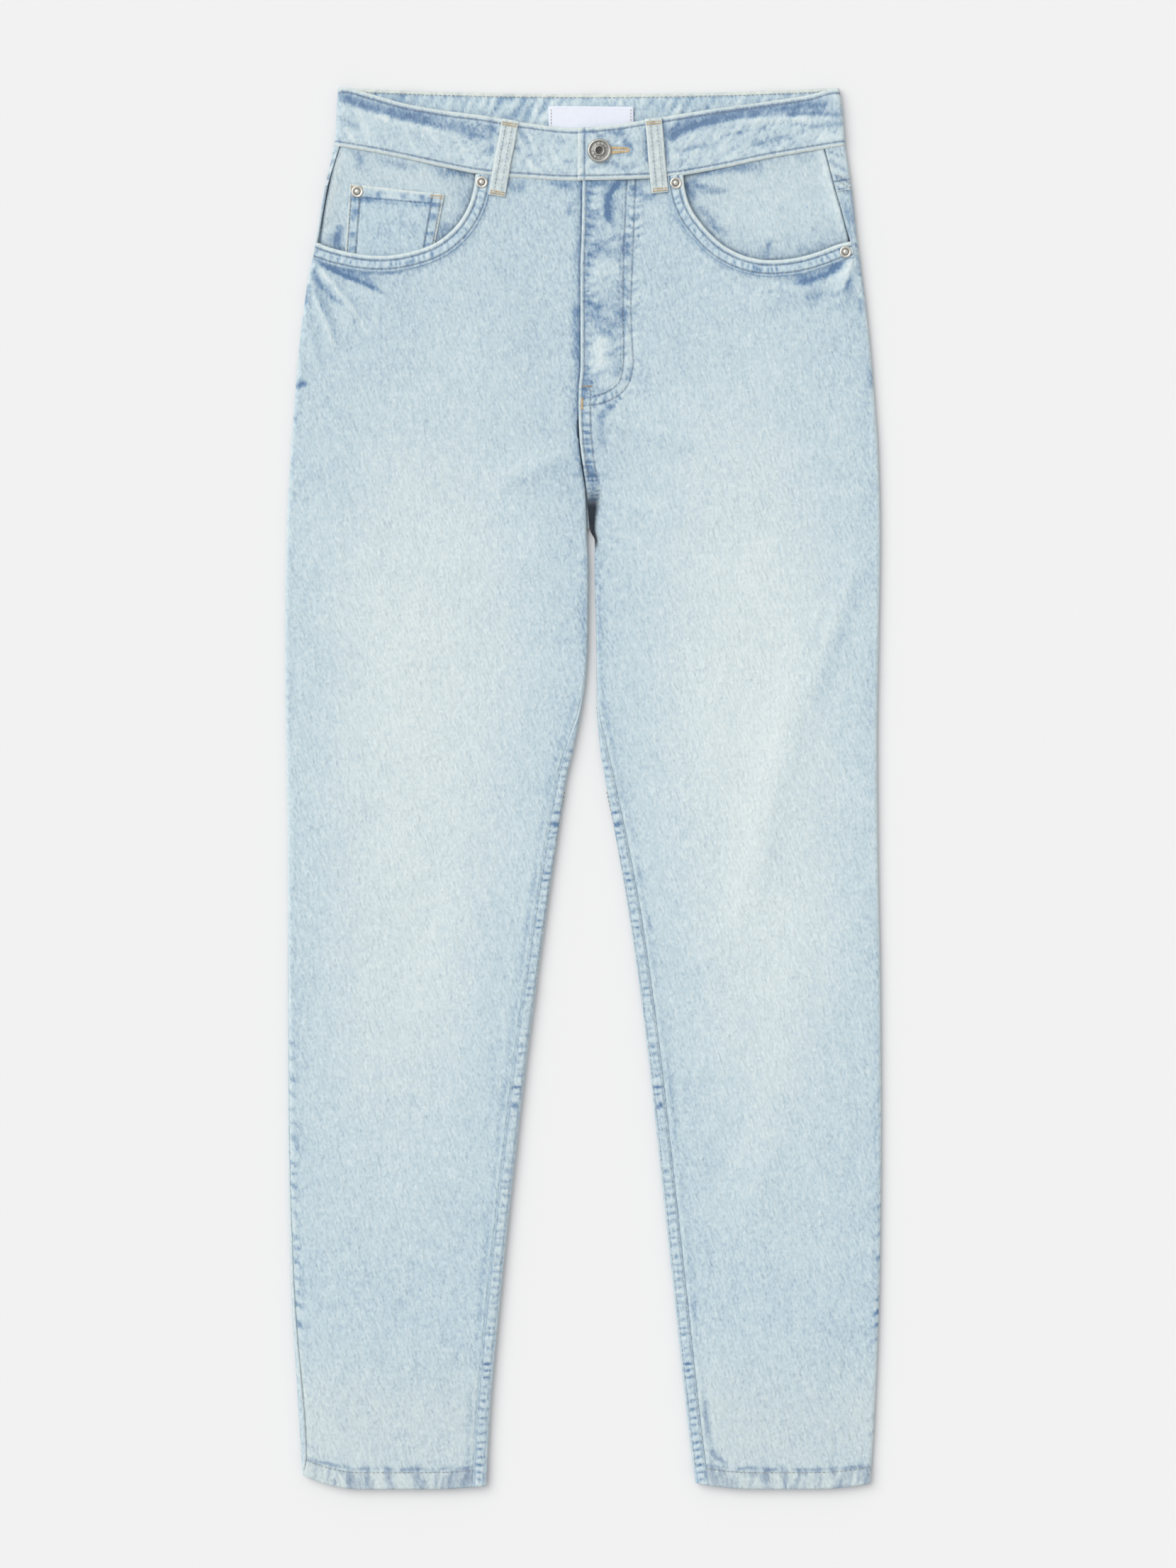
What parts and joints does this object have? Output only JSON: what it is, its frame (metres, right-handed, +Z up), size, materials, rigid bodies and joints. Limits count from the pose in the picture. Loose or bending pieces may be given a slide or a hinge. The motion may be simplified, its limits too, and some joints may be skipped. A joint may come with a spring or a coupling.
{
  "type": "pair of mom jeans",
  "caption": "High-waisted tapered mom jeans in light-washed denim, laid flat with the fly buttoned, with curved front pockets, a coin pocket and belt loops.",
  "frame": {"origin": "centre of the bounding box, at its bottom, on the surface that the jeans lie on", "axes": "+X towards the wearer's left leg, +Y along the legs from the hems to the waist, +Z up from the surface, out of the front of the jeans"},
  "size_m": [0.4242, 0.9973, 0.0119],
  "materials": {
    "denim": "light-washed rigid denim twill",
    "denim_shaded": "the same denim a little less worn",
    "denim_trim": "the same denim folded into strips, worn on its ridges",
    "label": "smooth woven label",
    "button_metal": "aged antique silver",
    "rivet_metal": "dull silver",
    "zip_tape": "woven zip tape"
  },
  "bodies": {
    "root": {"front_right": "denim", "back_right": "denim", "yoke_right": "denim", "hip_piece_right": "denim_shaded", "waistband_front_right": "denim", "back_pocket_right": "denim", "front_left": "denim", "back_left": "denim", "yoke_left": "denim", "hip_piece_left": "denim_shaded", "waistband_front_left": "denim", "back_pocket_left": "denim", "waistband_back": "denim_shaded", "coin_pocket": "denim_shaded", "belt_loop_front_right": "denim_trim", "belt_loop_front_left": "denim_trim", "belt_loop_back_right": "denim_trim", "belt_loop_back_centre": "denim_trim", "belt_loop_back_left": "denim_trim", "rivet_right_waist": "rivet_metal", "rivet_left_waist": "rivet_metal", "rivet_left_side": "rivet_metal", "rivet_coin_pocket": "rivet_metal", "button": "button_metal", "fly_zip": "zip_tape", "waist_label": "label"}
  },
  "joints": []
}
